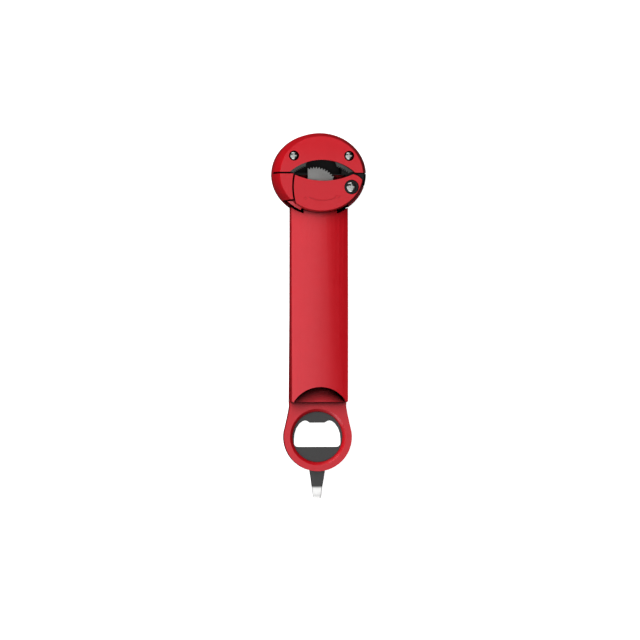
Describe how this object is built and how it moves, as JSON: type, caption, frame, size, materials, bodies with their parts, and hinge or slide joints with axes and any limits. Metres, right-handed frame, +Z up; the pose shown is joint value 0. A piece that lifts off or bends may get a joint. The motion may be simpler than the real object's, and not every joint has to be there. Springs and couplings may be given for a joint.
{
  "type": "multi-purpose manual opener",
  "caption": "Hand-held lid and bottle opener: oval head with a sprung toothed jaw, arched handle with a scooped end, crown-cap ring and curved lifter tip",
  "frame": {"origin": "Middle of the footprint, on the surface that the opener lies on.", "axes": "+Y runs along the handle to the oval gripper head, +Z is up and leaves the front face, +X is to the right seen from the front with the head up."},
  "size_m": [0.0636, 0.25, 0.025],
  "materials": {
    "red_plastic": "satin moulded red plastic with a very fine spark-eroded grain",
    "black_plastic": "matt black moulded plastic",
    "black_washer": "black oxide steel washer",
    "toothed_steel": "matt tumbled stainless steel sheet",
    "black_coated_steel": "satin black coated steel sheet, bare and polished at the lifter tip",
    "zinc_screw": "bright zinc-plated steel",
    "spring_steel": "drawn spring wire",
    "brass": "turned brass"
  },
  "bodies": {
    "opener_body": {"rear_body": "red_plastic", "handle_cover": "red_plastic", "upper_cover": "red_plastic", "mouth_liner": "black_plastic", "upper_grip_plate": "toothed_steel", "opener_plate": "black_coated_steel", "pivot_screw": "zinc_screw", "pivot_washer": "black_washer", "pivot_thrust_washer": "black_plastic", "pivot_bush": "brass", "pivot_nut": "zinc_screw", "jaw_stop_pin": "toothed_steel", "jaw_return_spring": "spring_steel", "cover_screw_left": "zinc_screw", "cover_screw_right": "zinc_screw", "handle_screw_head": "zinc_screw", "handle_screw_middle": "zinc_screw", "handle_screw_tail": "zinc_screw"},
    "jaw": {"swing_jaw": "red_plastic", "jaw_grip_plate": "toothed_steel", "jaw_plate_rivet_left": "toothed_steel", "jaw_plate_rivet_right": "toothed_steel"}
  },
  "joints": [
    {"name": "jaw_swing", "type": "hinge", "parent": "opener_body", "child": "jaw", "pos_m": [0.0207, 0.088, 0], "axis": [0, 0, 1], "range_deg": [0, 40], "stiffness_Nm_per_rad": 0.02, "springref_deg": -17.19, "deforming": ["jaw_return_spring"]}
  ]
}
